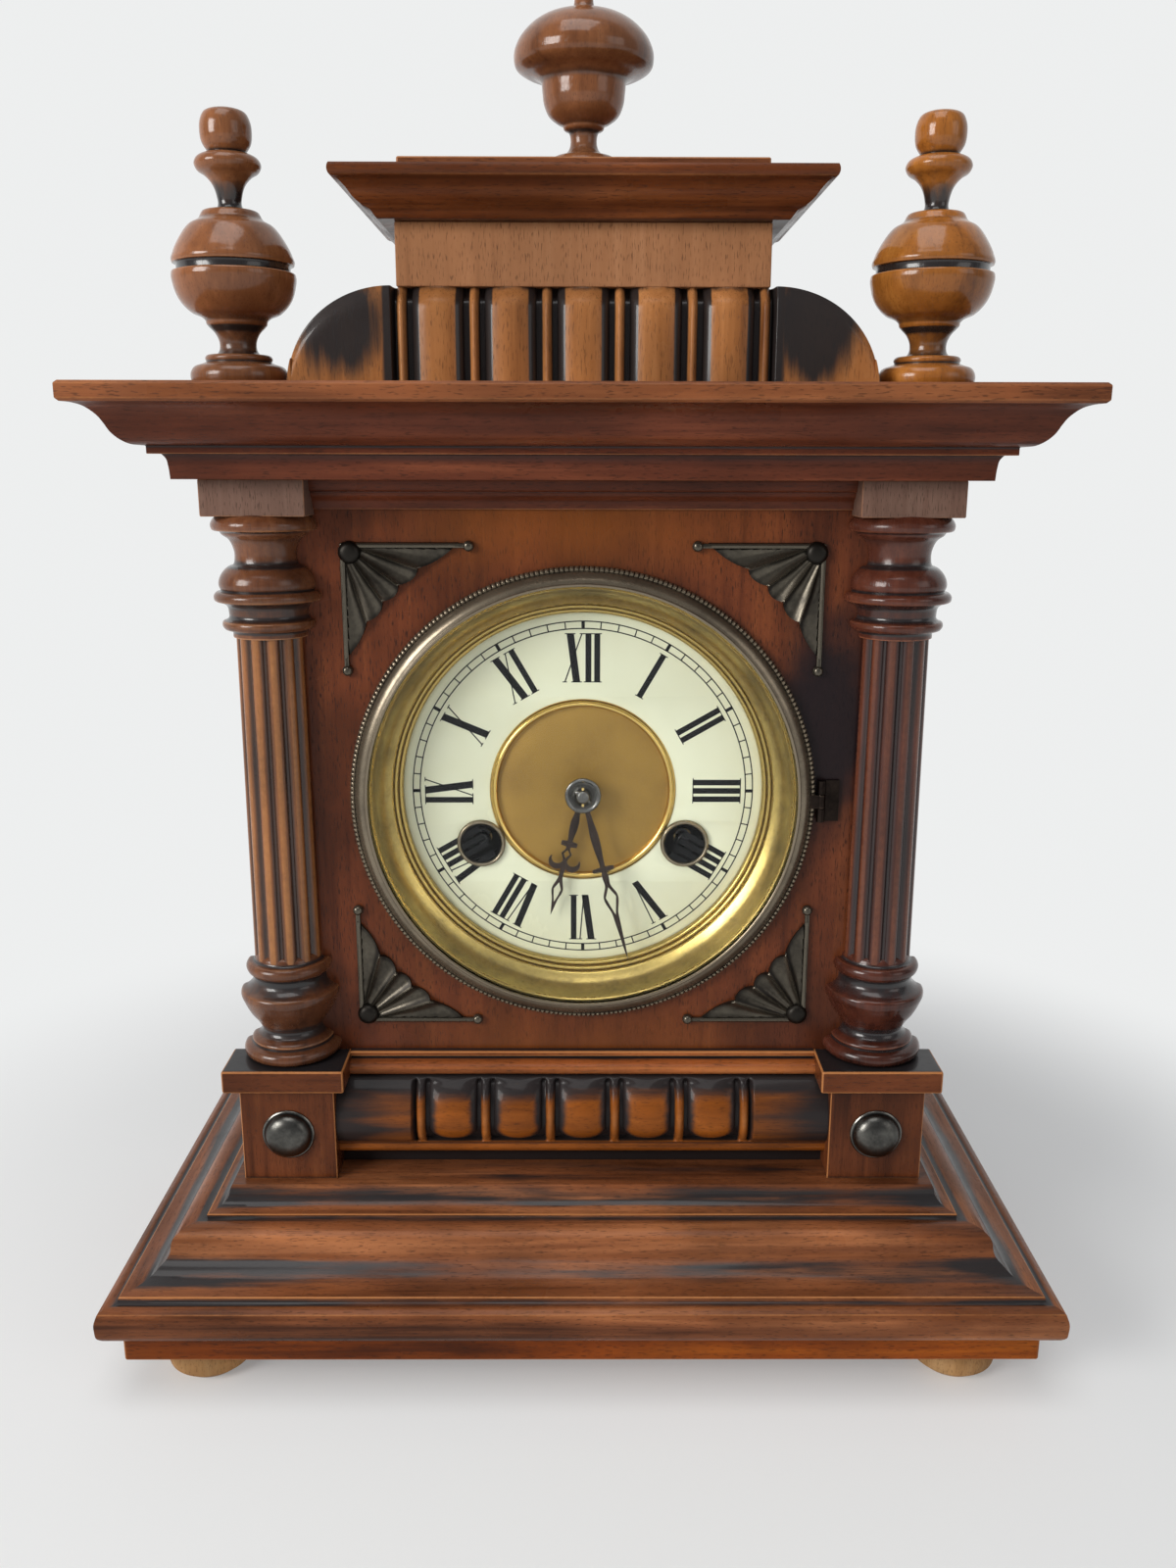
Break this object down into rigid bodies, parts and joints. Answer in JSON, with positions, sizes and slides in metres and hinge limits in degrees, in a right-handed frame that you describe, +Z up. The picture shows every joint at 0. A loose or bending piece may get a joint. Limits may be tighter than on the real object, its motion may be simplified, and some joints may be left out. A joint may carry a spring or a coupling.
{
  "type": "table clock",
  "caption": "Striking pendulum table clock in a walnut case with half columns, gadrooned crest, turned finials, glazed bezel door, rear door and a brass plate movement.",
  "frame": {"origin": "centre of the clock's bounding box where it stands on the table", "axes": "+Z up, -Y towards the viewer of the dial, +X to that viewer's right"},
  "size_m": [0.338, 0.167, 0.49],
  "materials": {
    "walnut": "glossy varnish with darker mouldings",
    "pale_walnut": "satin varnish, vertical grain",
    "turned_walnut": "glossy varnish",
    "softwood": "bare, slightly soiled",
    "bronze": "dark patinated bronze with worn edges",
    "brass": "lacquered, slightly dulled",
    "enamel": "fired enamel",
    "glass": "clear",
    "blued_steel": "dark blued",
    "steel": "plain"
  },
  "bodies": {
    "case": {"foot_front_left": "softwood", "foot_front_right": "softwood", "foot_back_left": "softwood", "foot_back_right": "softwood", "base_board": "softwood", "base_moulding": "walnut", "left_pedestal": "walnut", "right_pedestal": "walnut", "left_stud": "bronze", "right_stud": "bronze", "egg_frieze": "walnut", "front_panel": "walnut", "left_side": "walnut", "right_side": "walnut", "back_frame": "walnut", "left_column": "turned_walnut", "right_column": "turned_walnut", "upper_moulding": "walnut", "cornice_moulding": "walnut", "cornice_board": "walnut", "crest_gadroon": "walnut", "crest_block": "pale_walnut", "crest_cornice": "walnut", "crest_top_board": "pale_walnut", "left_finial": "turned_walnut", "right_finial": "turned_walnut", "centre_finial": "turned_walnut", "upper_left_fan": "bronze", "upper_right_fan": "bronze", "lower_left_fan": "bronze", "lower_right_fan": "bronze", "bezel_hinge": "bronze", "sight_ring": "brass", "door_hinge": "brass", "enamel_dial": "enamel", "dial_pan": "brass", "front_plate": "brass", "back_plate": "brass", "gong": "steel"},
    "bezel_door": {"bezel": "bronze", "dial_glass": "glass"},
    "rear_door": {"rear_door": "walnut"},
    "turn_button": {"turn_button": "brass"},
    "minute_arbor": {"centre_wheel": "brass", "minute_hand": "blued_steel"},
    "hour_pipe": {"hour_wheel": "brass", "hour_hand": "blued_steel"},
    "minute_wheel": {"minute_wheel": "brass"},
    "second_wheel": {"second_wheel": "brass"},
    "going_barrel": {"going_barrel": "brass"},
    "going_winding_arbor": {"going_winding_arbor": "steel"},
    "third_wheel": {"third_wheel": "brass"},
    "escape_wheel": {"escape_wheel": "brass"},
    "anchor": {"anchor": "steel"},
    "pendulum": {"pendulum": "brass"},
    "pin_wheel": {"pin_wheel": "brass"},
    "strike_barrel": {"strike_barrel": "brass"},
    "strike_winding_arbor": {"strike_winding_arbor": "steel"},
    "fly": {"fly": "steel"},
    "hammer": {"hammer": "steel"}
  },
  "joints": [
    {"name": "minute_turn", "type": "hinge", "parent": "case", "child": "minute_arbor", "pos_m": [0, -0.0115, 0.208], "axis": [0, 1, 0], "continuous": true},
    {"name": "hour_turn", "type": "hinge", "parent": "case", "child": "hour_pipe", "pos_m": [0, -0.0115, 0.208], "axis": [0, 1, 0], "continuous": true},
    {"name": "minute_wheel_turn", "type": "hinge", "parent": "case", "child": "minute_wheel", "pos_m": [0.006, -0.0115, 0.19761], "axis": [0, 1, 0], "continuous": true},
    {"name": "second_wheel_turn", "type": "hinge", "parent": "case", "child": "second_wheel", "pos_m": [0.02513, -0.0115, 0.2099], "axis": [0, 1, 0], "continuous": true},
    {"name": "going_barrel_turn", "type": "hinge", "parent": "case", "child": "going_barrel", "pos_m": [0.0376, -0.0115, 0.188], "axis": [0, 1, 0], "continuous": true},
    {"name": "third_wheel_turn", "type": "hinge", "parent": "case", "child": "third_wheel", "pos_m": [-0.00821, -0.0115, 0.23055], "axis": [0, 1, 0], "continuous": true},
    {"name": "escape_wheel_turn", "type": "hinge", "parent": "case", "child": "escape_wheel", "pos_m": [0, -0.0115, 0.24824], "axis": [0, 1, 0], "continuous": true},
    {"name": "going_winding", "type": "hinge", "parent": "case", "child": "going_winding_arbor", "pos_m": [0.0376, -0.0115, 0.188], "axis": [0, 1, 0], "continuous": true},
    {"name": "strike_winding", "type": "hinge", "parent": "case", "child": "strike_winding_arbor", "pos_m": [-0.0376, -0.0115, 0.188], "axis": [0, 1, 0], "continuous": true},
    {"name": "pin_wheel_turn", "type": "hinge", "parent": "case", "child": "pin_wheel", "pos_m": [-0.02513, -0.0115, 0.2099], "axis": [0, 1, 0], "continuous": true},
    {"name": "strike_barrel_turn", "type": "hinge", "parent": "case", "child": "strike_barrel", "pos_m": [-0.0376, -0.0115, 0.188], "axis": [0, 1, 0], "continuous": true},
    {"name": "fly_turn", "type": "hinge", "parent": "case", "child": "fly", "pos_m": [-0.03009, -0.0115, 0.23138], "axis": [0, 1, 0], "continuous": true},
    {"name": "hammer_lift", "type": "hinge", "parent": "case", "child": "hammer", "pos_m": [-0.02, -0.0115, 0.164], "axis": [0, 1, 0], "range_deg": [0, 12]},
    {"name": "pendulum_swing", "type": "hinge", "parent": "case", "child": "pendulum", "pos_m": [0, 0.0435, 0.26554], "axis": [0, 1, 0], "range_deg": [-4, 4]},
    {"name": "anchor_rock", "type": "hinge", "parent": "case", "child": "anchor", "pos_m": [0, 0.0185, 0.26554], "axis": [0, 1, 0], "range_deg": [-4, 4]},
    {"name": "bezel_open", "type": "hinge", "parent": "case", "child": "bezel_door", "pos_m": [0.0848, -0.02665, 0.208], "axis": [0, 0, 1], "range_deg": [0, 105]},
    {"name": "rear_door_open", "type": "hinge", "parent": "case", "child": "rear_door", "pos_m": [0.07, 0.0804, 0.183], "axis": [0, 0, -1], "range_deg": [0, 110]},
    {"name": "button_turn", "type": "hinge", "parent": "case", "child": "turn_button", "pos_m": [-0.078, 0.0788, 0.183], "axis": [0, 1, 0], "range_deg": [0, 90]}
  ],
  "couplings": [
    {"joint": "hour_turn", "follows": "minute_turn", "ratio": 0.083333},
    {"joint": "minute_wheel_turn", "follows": "minute_turn", "ratio": -0.33333},
    {"joint": "second_wheel_turn", "follows": "minute_turn", "ratio": -0.16667},
    {"joint": "going_barrel_turn", "follows": "minute_turn", "ratio": 0.027778},
    {"joint": "third_wheel_turn", "follows": "minute_turn", "ratio": -9},
    {"joint": "escape_wheel_turn", "follows": "minute_turn", "ratio": 108},
    {"joint": "strike_barrel_turn", "follows": "pin_wheel_turn", "ratio": -0.16667},
    {"joint": "fly_turn", "follows": "pin_wheel_turn", "ratio": -6},
    {"joint": "anchor_rock", "follows": "pendulum_swing", "ratio": 1}
  ]
}
